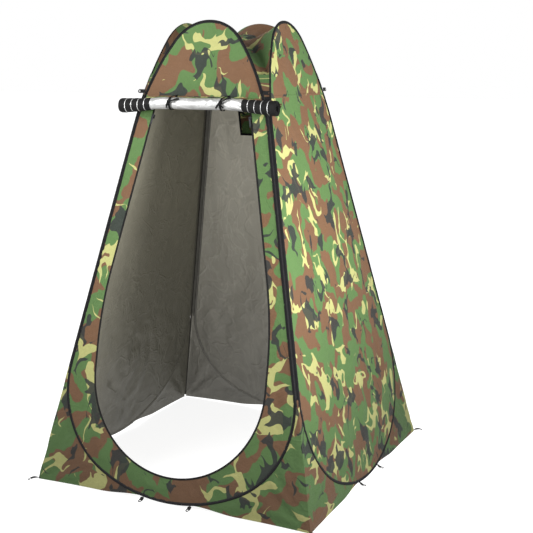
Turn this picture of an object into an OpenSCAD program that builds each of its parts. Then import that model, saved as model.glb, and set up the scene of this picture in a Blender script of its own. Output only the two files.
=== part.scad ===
// Pop-up privacy shower tent: four leaning sides, each a spring-steel hoop in a
// black binding sleeve with camouflage cloth inside it, joined along the corners
// of a pyramid. Millimetres, +Z up, origin on the floor at the middle of the foot.

/* [Tent] */
// Width of the foot on each side
base_w = 1200; // [1180:10:1300]
// Lean of each side in from upright, in degrees
lean = 12; // [11.5:0.25:12.5]
// Height of the seam between lower and upper cloth, up the side
seam_v = 1570; // [1560:2:1580]
// Thickness of the cloth as modelled
cloth_t = 1.2; // [0.8:0.1:1.3]

/* [Hoops] */
// Height of the hoop crown, measured up the side
crown_v = 1868; // [1850:2:1900]
// Radius of the hoop where it runs along the floor
foot_r = 660; // [620:5:680]
// Radius of the hoop at its lower corners
corner_r = 380; // [360:5:390]
// Radius of the hoop at its shoulders
shoulder_r = 900; // [850:10:1000]
// Height up the side where the shoulders begin
shoulder_v = 1450; // [1440:2:1460]
// Diameter of the spring-steel wire
wire_d = 3.5; // [2.5:0.1:3.8]
// Width of the binding sleeve
sleeve_w = 12; // [12:0.5:16]
// Thickness of the binding sleeve
sleeve_t = 6; // [6:0.25:8]
// Length of the crimp tube that joins the wire ends
ferrule_l = 34; // [20:1:50]

/* [Door] */
// Half the greatest width of the door opening
door_half_w = 370; // [350:2:380]
// Height of the centre of the opening's round foot
door_foot_v = 475; // [470:1:490]
// Height where the straight side starts to bend inward
door_bend_v = 560; // [540:2:580]
// Radius of that bend
door_bend_r = 1600; // [1500:10:1650]
// Width of the zip tape round the opening
zip_w = 10; // [6:0.5:12]
// Height of the axis of the rolled-up door
roll_v = 1535; // [1532:1:1538]
// Distance of the roll's axis in front of the side
roll_out = 41; // [40:0.5:44]
// Radius of the roll
roll_r = 24; // [20:0.5:24]
// Radius of the roll at its taped ends
roll_end_r = 30; // [26:0.5:30]
// Half the length of the roll
roll_half_l = 345; // [330:1:360]
// Distance of each ribbon tie from the middle
tie_u = 112; // [90:2:140]

/* [Window] */
// Width of the mesh window in the back
window_w = 260; // [220:2:280]
// Height of the window
window_h = 140; // [100:2:150]
// Height of the window's lower edge
window_v = 1385; // [1370:1:1390]

/* [Loops] */
// Diameter of the eyelets for ground pegs
peg_eyelet_d = 8; // [6:0.5:10]
// Diameter of the eyelets for guy lines
guy_eyelet_d = 6; // [4.5:0.5:8]
// Thickness of the webbing
webbing_t = 1.8; // [1.2:0.1:2.4]

/* [Hidden] */
$fn = 48;
SIDES = ["front", "right", "back", "left"];
FRONT = 0;
RIGHT = 1;
BACK = 2;
LEFT = 3;
CORNERS = ["front_left", "front_right", "back_right", "back_left"];
HANDS = ["left", "right"];
PER_SIDE = [
    "hoop_wire", "hoop_ferrule", "hoop_sleeve", "lower_panel", "upper_panel",
    "left_gusset", "right_gusset", "hem_loops"
];

half = base_w / 2;
tilt = sin(lean);
slope = atan(tilt);
slant = sqrt(1 + tilt * tilt);

// Clearances: cloth and sleeves stand off the corner lines, more at the open corner
corner_gap = 3;
open_corner_gap = 10;
sew_gap = 0.1;
running_gap = 0.3;

// The sleeve is a folded tape: a wide channel for the wire, then a slot for the cloth
tape_wall = 0.8;
channel_w = 5;
panel_inset = tape_wall + channel_w + 0.8;
wire_inset = tape_wall + 2.3;
mid_n = sleeve_t / 2;
cloth_n = mid_n - cloth_t / 2;
wire_sides = 8;
ferrule_v = 950;
ferrule_d = 4.3;
ferrule_bore_d = wire_d + 0.1;

gusset_tip_u = 110;
gusset_tip_v = 420;
gusset_gap = 1.5;

// Hoop outline: foot, corner, shoulder and crown arcs, each tangent to the next
foot_centre = [0, foot_r];
arc_drop = foot_r - corner_r;
corner_t = slope + asin((half - tilt * foot_r - corner_r * slant) / (arc_drop * slant));
corner_centre = [arc_drop * sin(corner_t), foot_r - arc_drop * cos(corner_t)];
shoulder_centre = [half - shoulder_v * tilt, shoulder_v] - shoulder_r * [1, tilt] / slant;
crown_rise = crown_v - shoulder_centre[1];
crown_r = (pow(shoulder_r, 2) - pow(shoulder_centre[0], 2) - pow(crown_rise, 2))
    / (2 * (shoulder_r - crown_rise));
crown_centre = [0, crown_v - crown_r];
crown_t = atan2(-shoulder_centre[0], shoulder_centre[1] - crown_centre[1]);

// Points on an arc, with t measured from straight down towards +u; the last one is left out
function on_arc(c, r, t) = c + r * [sin(t), -cos(t)];
function arc(c, r, t0, t1, steps) =
    [for (i = [0 : steps - 1]) on_arc(c, r, t0 + (t1 - t0) * i / steps)];

// Right half of the hoop outline, d inside the corner line, from foot to crown
function half_outline(d) = concat(
    arc(foot_centre, foot_r - d, 0, corner_t, 8),
    arc(corner_centre, corner_r - d, corner_t, 90 + slope, 20),
    [on_arc(corner_centre, corner_r - d, 90 + slope)],
    arc(shoulder_centre, shoulder_r - d, 90 + slope, crown_t, 8),
    arc(crown_centre, crown_r - d, crown_t, 180, 12),
    [[0, crown_v - d]]
);
function mirrored(pts) = [for (i = [len(pts) - 2 : -1 : 1]) [-pts[i][0], pts[i][1]]];
function outline(d) = let (h = half_outline(d)) concat(h, mirrored(h));

// Sides next to the open corner are a little narrower and shifted away from it
function extra(side) = side == BACK || side == LEFT ? (open_corner_gap - corner_gap) / 2 : 0;
function shift(side) = side == BACK ? -extra(side) : side == LEFT ? extra(side) : 0;
function gap_at(side, hand) =
    (side == BACK && hand > 0) || (side == LEFT && hand < 0) ? open_corner_gap : corner_gap;

// Places geometry drawn flat (x across, y up the side, z outward) on one side
module on_side(side) {
    rotate([0, 0, 90 * side])
        translate([0, -half, 0])
            rotate([90 - lean, 0, 0])
                children();
}

module hoop_shape(side, d) {
    translate([shift(side), 0])
        polygon(outline(corner_gap + extra(side) + d));
}

module slab(n, t) {
    translate([0, 0, n])
        linear_extrude(t)
            children();
}

// Closed tube swept along a flat loop of points
module loop_tube(pts, r, sides) {
    count = len(pts);
    rings = [for (i = [0 : count - 1])
        let (
            ahead = pts[(i + 1) % count] - pts[(i + count - 1) % count],
            across = [ahead[1], -ahead[0]] / norm(ahead)
        )
        for (j = [0 : sides - 1])
            let (t = 360 * (j + 0.5) / sides)
            [pts[i][0] + r * cos(t) * across[0], pts[i][1] + r * cos(t) * across[1], r * sin(t)]
    ];
    faces = [for (i = [0 : count - 1], j = [0 : sides - 1])
        let (a = i * sides, b = ((i + 1) % count) * sides, k = (j + 1) % sides)
        [a + j, a + k, b + k, b + j]
    ];
    polyhedron(rings, faces, convexity = 4);
}

module hoop_wire(side) {
    color("silver")
        on_side(side)
            translate([shift(side), 0, mid_n])
                loop_tube(outline(corner_gap + extra(side) + wire_inset), wire_d / 2, wire_sides);
}

module hoop_ferrule(side) {
    inset = corner_gap + extra(side) + wire_inset;
    color("dimgray")
        on_side(side)
            translate([half + shift(side) - ferrule_v * tilt - inset * slant, ferrule_v, mid_n])
                rotate([0, 0, slope])
                    rotate([-90, 0, 0])
                        difference() {
                            cylinder(h = ferrule_l, d = ferrule_d);
                            translate([0, 0, -1])
                                cylinder(h = ferrule_l + 2, d = ferrule_bore_d);
                        }
}

module hoop_sleeve(side) {
    color("black")
        on_side(side)
            difference() {
                slab(0, sleeve_t)
                    difference() {
                        hoop_shape(side, 0);
                        hoop_shape(side, sleeve_w);
                    }
                slab(tape_wall, sleeve_t - 2 * tape_wall)
                    difference() {
                        hoop_shape(side, tape_wall);
                        hoop_shape(side, tape_wall + channel_w);
                    }
                slab(cloth_n - sew_gap, cloth_t + 2 * sew_gap)
                    difference() {
                        hoop_shape(side, tape_wall + channel_w - 1);
                        hoop_shape(side, sleeve_w + 1);
                    }
            }
}

module band(v0, v1) {
    translate([-base_w, v0])
        square([2 * base_w, v1 - v0]);
}

// Right half of the door outline, d outside the zip's inner edge
function door_half(d) =
    let (
        bend = [door_half_w - door_bend_r, door_bend_v],
        top = bend + (door_bend_r + d) * [cos(slope), sin(slope)],
        rise = seam_v + 1 - top[1]
    )
    concat(
        arc([0, door_foot_v], door_half_w + d, 0, 90, 24),
        [[door_half_w + d, door_foot_v]],
        arc(bend, door_bend_r + d, 90, 90 + slope, 8),
        [top, [top[0] - rise * tilt, seam_v + 1]]
    );
function door_outline(d) =
    let (h = door_half(d)) concat(h, [for (i = [len(h) - 1 : -1 : 1]) [-h[i][0], h[i][1]]]);

module window_shape(grow) {
    translate([-window_w / 2 - grow, window_v - grow])
        square([window_w + 2 * grow, window_h + 2 * grow]);
}

module lower_panel(side) {
    color("olivedrab")
        on_side(side)
            slab(cloth_n, cloth_t)
                difference() {
                    intersection() {
                        hoop_shape(side, panel_inset);
                        band(-1, seam_v - sew_gap);
                    }
                    if (side == FRONT) polygon(door_outline(zip_w));
                    if (side == BACK) window_shape(binding_w);
                }
}

module upper_panel(side) {
    color("olivedrab")
        on_side(side)
            slab(cloth_n, cloth_t)
                intersection() {
                    hoop_shape(side, panel_inset);
                    band(seam_v + sew_gap, 2 * crown_v);
                }
}

// Flat corner piece that reaches the floor, below and outside the hoop
module gusset(side, hand) {
    foot_u = half - gap_at(side, hand) + corner_gap - gusset_gap;
    color("darkolivegreen")
        on_side(side)
            slab(cloth_n, cloth_t)
                difference() {
                    polygon([
                        [hand * gusset_tip_u, 0],
                        [hand * foot_u, 0],
                        [hand * (foot_u - gusset_tip_v * tilt), gusset_tip_v],
                        [hand * gusset_tip_u, gusset_tip_v]
                    ]);
                    hoop_shape(side, -running_gap);
                }
}

// Webbing tab with a round eyelet, lying flat, its root at the origin
module eyelet_tab(length, width, hole_d) {
    difference() {
        linear_extrude(webbing_t)
            union() {
                translate([0, -width / 2])
                    square([length - width / 2, width]);
                translate([length - width / 2, 0])
                    circle(d = width);
            }
        translate([length - width / 2, 0, -1])
            cylinder(h = webbing_t + 2, d = hole_d);
    }
}

hem_loop_u = 105;
hem_loop_l = 24;
hem_loop_w = 16;
hem_loop_out = sleeve_t * cos(lean) + running_gap;
module hem_loops(side) {
    color("black")
        rotate([0, 0, 90 * side])
            for (hand = [-1, 1])
                translate([hand * hem_loop_u, -half - hem_loop_out, 0])
                    rotate([0, 0, -90])
                        eyelet_tab(hem_loop_l, hem_loop_w, peg_eyelet_d);
}

peg_loop_l = 30;
peg_loop_w = 18;
peg_loop_start = 16;
module peg_loop(corner) {
    color("black")
        rotate([0, 0, 90 * corner])
            translate([-half, -half, 0])
                rotate([0, 0, -135])
                    translate([peg_loop_start, 0, 0])
                        eyelet_tab(peg_loop_l, peg_loop_w, peg_eyelet_d);
}

// Guy tabs lie on the sleeve and reach past the corner at the seam
guy_tab_v = 1586;
guy_tab_l = 34;
guy_tab_w = 15;
guy_tab_root = 12;
function guy_side(corner) = corner == 0 ? FRONT : corner == 1 ? FRONT : corner == 2 ? RIGHT : LEFT;
function guy_hand(corner) = corner == 0 || corner == 3 ? -1 : 1;
module guy_tab(corner) {
    side = guy_side(corner);
    hand = guy_hand(corner);
    edge_u = half - guy_tab_v * tilt - gap_at(side, hand);
    color("black")
        on_side(side)
            translate([hand * (edge_u - guy_tab_root), guy_tab_v, sleeve_t + sew_gap])
                rotate([0, 0, hand > 0 ? 0 : 180])
                    eyelet_tab(guy_tab_l, guy_tab_w, guy_eyelet_d);
}

// Roof cloth: a shallow saddle hung from the four crowns, low towards the corners
roof_edge_n = -2;
roof_edge_inset = 6;
roof_low_v = 1640;
roof_centre_z = 1745;
roof_rings = 6;
roof_steps = 9;
function rotated(p, side) =
    let (c = cos(90 * side), s = sin(90 * side)) [c * p[0] - s * p[1], s * p[0] + c * p[1], p[2]];
function side_point(side, u, v, n) =
    rotated([u, -half + v * sin(lean) - n * cos(lean), v * cos(lean) + n * sin(lean)], side);
function outline_u(d, v) =
    v > crown_turn_v ? sqrt(max(0, pow(crown_r - d, 2) - pow(v - crown_centre[1], 2)))
    : shoulder_centre[0] + sqrt(pow(shoulder_r - d, 2) - pow(v - shoulder_centre[1], 2));
crown_turn_v = crown_centre[1] - crown_r * cos(crown_t);
roof_d = corner_gap + roof_edge_inset;
roof_edge = [for (side = [0 : 3], i = [0 : 2 * roof_steps])
    let (
        w = i / roof_steps - 1,
        rise = sin(90 * (1 - abs(w))),
        v = roof_low_v + (crown_v - roof_d - roof_low_v) * rise,
        u = sign(w) * outline_u(roof_d, v)
    )
    side_point(side, u, v, roof_edge_n)
];
module roof_panel() {
    count = len(roof_edge);
    centre = [0, 0, roof_centre_z];
    function skin(lift) = [for (r = [1 : roof_rings], p = roof_edge)
        let (f = r / roof_rings)
        [p[0] * f, p[1] * f, roof_centre_z + (p[2] - roof_centre_z) * f * f + lift]
    ];
    top = concat([centre + [0, 0, cloth_t / 2]], skin(cloth_t / 2));
    bottom = concat([centre - [0, 0, cloth_t / 2]], skin(-cloth_t / 2));
    base = len(top);
    rim = 1 + (roof_rings - 1) * count;
    faces = concat(
        [for (j = [0 : count - 1]) let (k = (j + 1) % count) [0, 1 + k, 1 + j]],
        [for (j = [0 : count - 1]) let (k = (j + 1) % count) [base, base + 1 + j, base + 1 + k]],
        [for (r = [0 : roof_rings - 2], j = [0 : count - 1])
            let (k = (j + 1) % count, a = 1 + r * count, b = a + count)
            each [[a + j, a + k, b + k], [a + j, b + k, b + j]]],
        [for (r = [0 : roof_rings - 2], j = [0 : count - 1])
            let (k = (j + 1) % count, a = base + 1 + r * count, b = a + count)
            each [[a + k, a + j, b + k], [a + j, b + j, b + k]]],
        [for (j = [0 : count - 1])
            let (k = (j + 1) % count)
            [rim + j, rim + k, base + rim + k, base + rim + j]]
    );
    color("olivedrab")
        polyhedron(concat(top, bottom), faces, convexity = 6);
}

zip_t = 2.2;
zip_n = mid_n - zip_t / 2;
zip_top_v = 1556;
module zip_track() {
    color("black")
        on_side(FRONT)
            slab(zip_n, zip_t)
                intersection() {
                    difference() {
                        polygon(door_outline(zip_w - running_gap));
                        polygon(door_outline(0));
                    }
                    band(0, zip_top_v);
                }
}

// The rolled door: silver cloth in the middle, stepped zip tape at both ends
roll_tape_u = 232;
roll_steps = 5;
roll_core_r = 9;
roll_core_depth = 60;
module door_roll() {
    step_l = (roll_half_l - roll_tape_u) / roll_steps;
    step_r = (roll_end_r - roll_r) / roll_steps;
    right = concat(
        [[roll_r, roll_tape_u]],
        [for (i = [1 : roll_steps])
            each [
                [roll_r + i * step_r, roll_tape_u + (i - 1) * step_l],
                [roll_r + i * step_r, roll_tape_u + i * step_l]
            ]],
        [[roll_core_r, roll_half_l], [roll_core_r, roll_half_l - roll_core_depth]]
    );
    left = [for (i = [len(right) - 1 : -1 : 0]) [right[i][0], -right[i][1]]];
    profile = concat(
        right,
        [[0, roll_half_l - roll_core_depth], [0, roll_core_depth - roll_half_l]],
        left
    );
    color("gainsboro")
        on_side(FRONT)
            translate([0, roll_v, roll_out])
                rotate([0, 90, 0])
                    rotate_extrude()
                        polygon(profile);
}

// Ribbons hang from a point just outside the seam and pass round the roll
tie_tip = [1572, 6];
tie_w = 10;
tie_t = 1;
tie_slack = 0.6;
web_half_w = 205;
web_end = 14;
web_t = 0.8;
roll_axis = [roll_v, roll_out];
to_tip = tie_tip - roll_axis;
tip_angle = atan2(to_tip[1], to_tip[0]);

// Teardrop round the roll in the upright plane, as points (height, outward)
function teardrop(r, tip) =
    let (spread = acos(r / norm(tip - roll_axis)), steps = 36)
    concat([tip], [for (i = [0 : steps])
        let (t = tip_angle + spread + (360 - 2 * spread) * i / steps)
        roll_axis + r * [cos(t), sin(t)]]);

// Stands an outline drawn as (height, outward) up in the front side's plane
module across_side(u, width) {
    on_side(FRONT)
        translate([u - width / 2, 0, 0])
            rotate([90, 0, 90])
                linear_extrude(width)
                    children();
}

bow_w = 26;
bow_h = 9;
bow_t = 5;
module door_tie(hand) {
    inner_r = roll_r + tie_slack;
    tip_out = tie_t * to_tip / norm(to_tip);
    color("black") {
        across_side(hand * tie_u, tie_w)
            difference() {
                polygon(teardrop(inner_r + tie_t, tie_tip + 2 * tip_out));
                polygon(teardrop(inner_r, tie_tip));
            }
        across_side(hand * tie_u, bow_w)
            translate([roll_v - bow_h / 2, roll_out + inner_r + tie_t / 2])
                square([bow_h, bow_t]);
    }
}

module door_web() {
    reach = roll_r + tie_slack;
    spread = acos(reach / norm(to_tip));
    touch = roll_axis + reach * [cos(tip_angle - spread), sin(tip_angle - spread)];
    run = (tie_tip - touch) / norm(tie_tip - touch);
    inward = (roll_axis - touch) / reach;
    start = touch + web_end * run + running_gap * inward;
    finish = tie_tip - 4 * run + running_gap * inward;
    color("gainsboro")
        across_side(0, 2 * web_half_w)
            polygon([start, finish, finish + web_t * inward, start + web_t * inward]);
}

// Zip slider: two plates and a bridge that clip over the edge of the zip tape,
// with two ears and a pin that carry the pull tab
slider_v = 1488;
slider_l = 16;
slider_in = 5;
slider_over = 6;
slider_plate_t = 1.6;
slider_face_n = zip_n + zip_t + running_gap + slider_plate_t;
slider_back_n = zip_n - running_gap - slider_plate_t;
barrel_d = 2.8;
pin_d = 1.4;
pin_gap = 0.08;
pull_w = 7;
pull_l = 30;
pull_t = 1.2;
pin_n = slider_face_n + running_gap + barrel_d / 2;
ear_t = 1.2;
function door_edge_u(v) = let (bend_v = door_bend_v + door_bend_r * sin(slope))
    door_half_w - door_bend_r * (1 - cos(slope)) - (v - bend_v) * tilt;

module mirrored_if(flag) {
    if (flag) mirror([1, 0, 0]) children();
    else children();
}

// Places geometry at the straight edge of the door: x outward across the tape, y up it
module on_door_edge(hand, v) {
    on_side(FRONT)
        mirrored_if(hand < 0)
            translate([door_edge_u(v), v, 0])
                rotate([0, 0, slope])
                    children();
}

// Cylinder along x, centred on the pull tab's pivot
module pivot_rod(length, d) {
    translate([-length / 2, 0, pin_n])
        rotate([0, 90, 0])
            cylinder(h = length, d = d);
}

module zip_slider(hand) {
    ear_x = pull_w / 2 + running_gap;
    color("dimgray")
        on_door_edge(hand, slider_v) {
            difference() {
                translate([-slider_in, -slider_l / 2, slider_back_n])
                    cube([slider_in + slider_over, slider_l, slider_face_n - slider_back_n]);
                translate([-running_gap, -slider_l, zip_n - running_gap])
                    cube([slider_over + 1, 2 * slider_l, zip_t + 2 * running_gap]);
            }
            for (side = [-1, 1])
                translate([side * (ear_x + ear_t / 2), 0, slider_face_n - slider_plate_t / 2])
                    translate([-ear_t / 2, -barrel_d / 2, 0])
                        cube([ear_t, barrel_d, pin_n + barrel_d / 2 - slider_face_n + slider_plate_t / 2]);
            pivot_rod(2 * ear_x + ear_t, pin_d);
        }
}

module pull_tab(hand) {
    color("dimgray")
        on_door_edge(hand, slider_v)
            difference() {
                union() {
                    pivot_rod(pull_w, barrel_d);
                    translate([0, 0, pin_n - pull_t / 2])
                        linear_extrude(pull_t)
                            union() {
                                translate([-pull_w / 2, -pull_l])
                                    square([pull_w, pull_l]);
                                translate([0, -pull_l])
                                    circle(d = pull_w);
                            }
                }
                pivot_rod(pull_w + 2, pin_d + 2 * pin_gap);
                translate([0, -pull_l, pin_n - pull_t])
                    cylinder(h = 2 * pull_t, d = pull_w / 2);
            }
}

binding_w = 10;
binding_t = 2.4;
mesh_t = 0.6;
module window_binding() {
    color("black")
        on_side(BACK)
            slab(mid_n - binding_t / 2, binding_t)
                difference() {
                    window_shape(binding_w - running_gap);
                    window_shape(0);
                }
}

module window_mesh() {
    color("black")
        on_side(BACK)
            slab(mid_n - mesh_t / 2, mesh_t)
                window_shape(-running_gap);
}

flap_w = 288;
flap_h = 172;
flap_top_v = 1541;
flap_n = 4.8;
module window_flap() {
    color("olivedrab")
        on_side(BACK)
            slab(flap_n, cloth_t)
                translate([-flap_w / 2, flap_top_v - flap_h])
                    square([flap_w, flap_h]);
}

for (side = [0 : 3]) {
    name = str(SIDES[side], "_");
    hoop_wire(side);
    hoop_ferrule(side);
    hoop_sleeve(side);
    lower_panel(side);
    upper_panel(side);
    gusset(side, -1);
    gusset(side, 1);
    hem_loops(side);
}
for (corner = [0 : 3]) {
    peg_loop(corner);
    guy_tab(corner);
}
for (i = [0, 1]) {
    hand = 2 * i - 1;
    door_tie(hand);
    zip_slider(hand);
    pull_tab(hand);
}
roof_panel();
zip_track();
door_roll();
door_web();
window_binding();
window_mesh();
window_flap();
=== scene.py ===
"""Pop-up privacy shower tent: cloth, bindings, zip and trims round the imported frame."""

import math

import bmesh
import bpy
import numpy as np
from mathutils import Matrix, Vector
from mathutils.geometry import delaunay_2d_cdt


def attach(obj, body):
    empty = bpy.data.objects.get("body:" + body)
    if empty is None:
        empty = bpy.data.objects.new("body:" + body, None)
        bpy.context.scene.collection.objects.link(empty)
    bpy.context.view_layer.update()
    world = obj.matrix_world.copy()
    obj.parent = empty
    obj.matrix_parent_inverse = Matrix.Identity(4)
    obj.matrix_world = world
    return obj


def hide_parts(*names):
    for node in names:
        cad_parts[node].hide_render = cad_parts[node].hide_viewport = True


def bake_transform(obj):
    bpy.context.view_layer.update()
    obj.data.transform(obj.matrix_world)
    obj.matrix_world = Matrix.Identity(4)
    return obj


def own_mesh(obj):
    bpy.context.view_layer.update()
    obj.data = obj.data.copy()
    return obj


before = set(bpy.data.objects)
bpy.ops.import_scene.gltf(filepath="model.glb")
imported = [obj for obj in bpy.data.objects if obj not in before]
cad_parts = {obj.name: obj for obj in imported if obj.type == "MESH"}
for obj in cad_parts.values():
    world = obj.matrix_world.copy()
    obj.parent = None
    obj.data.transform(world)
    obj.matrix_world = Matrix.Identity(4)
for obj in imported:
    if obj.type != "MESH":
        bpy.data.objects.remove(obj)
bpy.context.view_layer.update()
SCENE = bpy.context.scene

# ---------------- measures, in metres and radians
SIDES = ["front", "right", "back", "left"]
FRONT, RIGHT, BACK, LEFT = range(4)
BODIES = [f"{side}_side" for side in SIDES]
BINDINGS = [f"{side}_binding" for side in SIDES]
CORNERS = ["front_right", "back_right", "back_left", "front_left"]  # the corner after each side
OPEN_CORNER = BACK
QUARTER, TURN = math.pi / 2, 2 * math.pi
HALF = 0.6
LEAN = math.radians(12)
TILT, RISE = math.sin(LEAN), math.cos(LEAN)
SLOPE = math.atan(TILT)
SLANT = math.hypot(1, TILT)
SEAM_V = 1.570
MID_N = 0.003
CLOTH_HALF = 0.0006
FOOT_R, CORNER_R, SHOULDER_R = 0.660, 0.380, 0.900
SHOULDER_V, CROWN_V = 1.450, 1.868
CORNER_GAP, OPEN_GAP = 0.003, 0.010
DOOR_HALF, DOOR_FOOT_V, DOOR_BEND_V, DOOR_BEND_R = 0.370, 0.475, 0.560, 1.600
DOOR_TRAVEL = 1.17
ROLL_V, ROLL_N, ROLL_R, ROLL_END_R, ROLL_HALF = 1.535, 0.041, 0.024, 0.030, 0.345
ROLL_TAPE_U = 0.198
ROLL_DROOP = 0.012
TIE_U = 0.112
TIE_TIP = np.array([1.572, 0.006])
ZIP_TOP_V = 1.556
WINDOW_W, WINDOW_H, WINDOW_V = 0.260, 0.140, 1.385
FLAP_HALF, FLAP_H, FLAP_TOP_V = 0.144, 0.172, 1.541
GUY_V = 1.586


# ---------------- camera
def add_camera():
    data = bpy.data.cameras.new("camera")
    data.sensor_width = 36.0
    data.lens = 72.3
    data.clip_end = 60.0
    camera = bpy.data.objects.new("camera", data)
    camera.location = (2.007, -3.917, 1.679)
    camera.rotation_euler = (QUARTER - 0.192, 0.0, 0.445)
    SCENE.collection.objects.link(camera)
    SCENE.camera = camera


add_camera()


# ---------------- vectors and noise
def quarter_turns(x, y, count):
    """Points turned about the tent's axis by a number of quarter turns."""
    c, s = math.cos(QUARTER * count), math.sin(QUARTER * count)
    return c * x - s * y, s * x + c * y


def on_side(k, u, v, n):
    """Points drawn flat on side k (u across, v up the side, n outward), in the frame."""
    u, v, n = np.broadcast_arrays(*(np.asarray(x, float) for x in (u, v, n)))
    x, y = quarter_turns(u, -HALF + v * TILT - n * RISE, k)
    return np.stack([x, y, v * RISE + n * TILT], -1)


def side_vector(k, u, v, n):
    return on_side(k, u, v, n) - on_side(k, 0, 0, 0)


def unit(vectors):
    """The same vectors with a length of one."""
    return vectors / np.maximum(np.linalg.norm(vectors, axis=-1, keepdims=True), 1e-12)


def pairs(a, b):
    """Two arrays, stretched to fit each other, as one array of pairs."""
    return np.stack(np.broadcast_arrays(a, b), -1)


def tangents(path, closed=True):
    """Unit vectors along a path."""
    return unit(np.roll(path, -1, axis=0) - np.roll(path, 1, axis=0) if closed else np.gradient(path, axis=0))


def left_normals(path, closed=True):
    """Unit normals on the left of a flat path."""
    ahead = tangents(path, closed)
    return pairs(-ahead[:, 1], ahead[:, 0])


def offset_path(path, normals, d):
    """The u and v of points d along the normal at each place on a flat path."""
    return (path[:, i, None] + normals[:, i, None] * d for i in (0, 1))


def running_length(points):
    """Distance along a chain of points from its first point."""
    steps = np.linalg.norm(np.diff(points, axis=0), axis=1)
    return np.concatenate([[0], np.cumsum(steps)])


def smooth(x, a, b):
    """0 below a and 1 above b, smooth between."""
    t = np.clip((np.asarray(x, float) - a) / (b - a), 0, 1)
    return t * t * (3 - 2 * t)


def lattice(ix, iy, seed):
    """A repeatable random number from 0 to 1 for each pair of whole numbers."""
    h = (ix.astype(np.int64) * 374761393 + iy.astype(np.int64) * 668265263 + seed * 974634777) & 0xFFFFFFFF
    h = ((h ^ (h >> 13)) * 1274126177) & 0xFFFFFFFF
    return ((h ^ (h >> 16)) & 0xFFFFFF) / float(0xFFFFFF)


def noise(x, y, seed):
    """Smooth noise from -1 to 1 with features about one unit across."""
    x, y = np.broadcast_arrays(np.asarray(x, float), np.asarray(y, float))
    ix, iy = np.floor(x), np.floor(y)
    fx, fy = x - ix, y - iy
    fx, fy = fx * fx * (3 - 2 * fx), fy * fy * (3 - 2 * fy)
    a, b = lattice(ix, iy, seed), lattice(ix + 1, iy, seed)
    c, d = lattice(ix, iy + 1, seed), lattice(ix + 1, iy + 1, seed)
    return 2 * ((a * (1 - fx) + b * fx) * (1 - fy) + (c * (1 - fx) + d * fx) * fy) - 1


def ridges(x, y, seed):
    """Thin creases, from 0 to 1, along the zero lines of the noise."""
    wander = 0.35 * noise(x * 1.7, y * 1.7, seed + 9)
    return (1 - np.abs(noise(x + wander, y + wander, seed))) ** 8


# ---------------- outlines
def arc(centre, r, t0, t1, step):
    """Points on an arc, with angles from straight down and without its last point."""
    count = max(2, int(abs(t1 - t0) * r / step))
    t = np.linspace(t0, t1, count + 1)[:-1]
    return pairs(centre[0] + r * np.sin(t), centre[1] - r * np.cos(t))


def line(a, b, step):
    count = max(2, int(np.linalg.norm(b - a) / step))
    return a + (b - a) * np.linspace(0, 1, count + 1)[:, None]


def leaning_point(centre, r):
    """Where an arc runs into a line that leans as the tent's corners do."""
    return np.array([centre[0] + r * math.cos(SLOPE), centre[1] + r * math.sin(SLOPE)])


def mirrored(outline):
    """The other hand of an outline, drawn in the same sense."""
    return outline[::-1] * [-1, 1]


def hoop_half(d, step):
    """Right half of a hoop's outline, d inside the corner line, from foot to crown."""
    drop = FOOT_R - CORNER_R
    corner_t = SLOPE + math.asin((HALF - TILT * FOOT_R - CORNER_R * SLANT) / (drop * SLANT))
    corner = (drop * math.sin(corner_t), FOOT_R - drop * math.cos(corner_t))
    shoulder = (HALF - SHOULDER_V * TILT - SHOULDER_R / SLANT, SHOULDER_V - SHOULDER_R * TILT / SLANT)
    rise = CROWN_V - shoulder[1]
    crown_r = (SHOULDER_R**2 - shoulder[0] ** 2 - rise**2) / (2 * (SHOULDER_R - rise))
    crown = (0.0, CROWN_V - crown_r)
    crown_t = math.atan2(-shoulder[0], shoulder[1] - crown[1])
    straight = line(leaning_point(corner, CORNER_R - d), leaning_point(shoulder, SHOULDER_R - d), step)
    return np.concatenate(
        [
            arc((0, FOOT_R), FOOT_R - d, 0, corner_t, step),
            arc(corner, CORNER_R - d, corner_t, QUARTER + SLOPE, step),
            straight[:-1],
            arc(shoulder, SHOULDER_R - d, QUARTER + SLOPE, crown_t, step),
            arc(crown, crown_r - d, crown_t, math.pi, step),
            [[0, CROWN_V - d]],
        ]
    )


def side_shift(k):
    """How far a side's middle is moved away from the open corner."""
    return {BACK: -1, LEFT: 1}.get(k, 0) * (OPEN_GAP - CORNER_GAP) / 2


def hoop(k, d, step):
    """A side's whole hoop outline, d inside its outer edge, as an open list of a closed loop."""
    half = hoop_half(CORNER_GAP + abs(side_shift(k)) + d, step)
    return np.concatenate([half, mirrored(half[1:-1])]) + [side_shift(k), 0]


def hoop_u(k, hand, d, v):
    """How far out hoop k reaches at height v, d inside its outer edge, on one hand."""
    loop = hoop(k, d, 0.008)
    half = loop[(hand * loop[:, 0] > 0.05) & (loop[:, 1] > 0.35)]
    half = half[np.argsort(half[:, 1])]
    return np.interp(v, half[:, 1], half[:, 0])


def door_half(d, step):
    """Right half of the door's outline, d outside its edge, from the foot to the seam."""
    bend = (DOOR_HALF - DOOR_BEND_R, DOOR_BEND_V)
    top = leaning_point(bend, DOOR_BEND_R + d)
    end = np.array([top[0] - (SEAM_V - top[1]) * TILT, SEAM_V])
    return np.concatenate(
        [
            arc((0, DOOR_FOOT_V), DOOR_HALF + d, 0, QUARTER, step),
            [(DOOR_HALF + d, v) for v in np.linspace(DOOR_FOOT_V, DOOR_BEND_V, 6)[:-1]],
            arc(bend, DOOR_BEND_R + d, QUARTER, QUARTER + SLOPE, step),
            line(top, end, step),
        ]
    )


def round_the_foot(half):
    """A door's whole outline from its right half: down the right, round the foot and up the left."""
    return np.concatenate([half[::-1], half[1:] * [-1, 1]])


def door_width(v):
    """Half the door's width at height v."""
    half = door_half(0.0, 0.0005)
    return np.interp(v, half[:, 1], half[:, 0])


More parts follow.
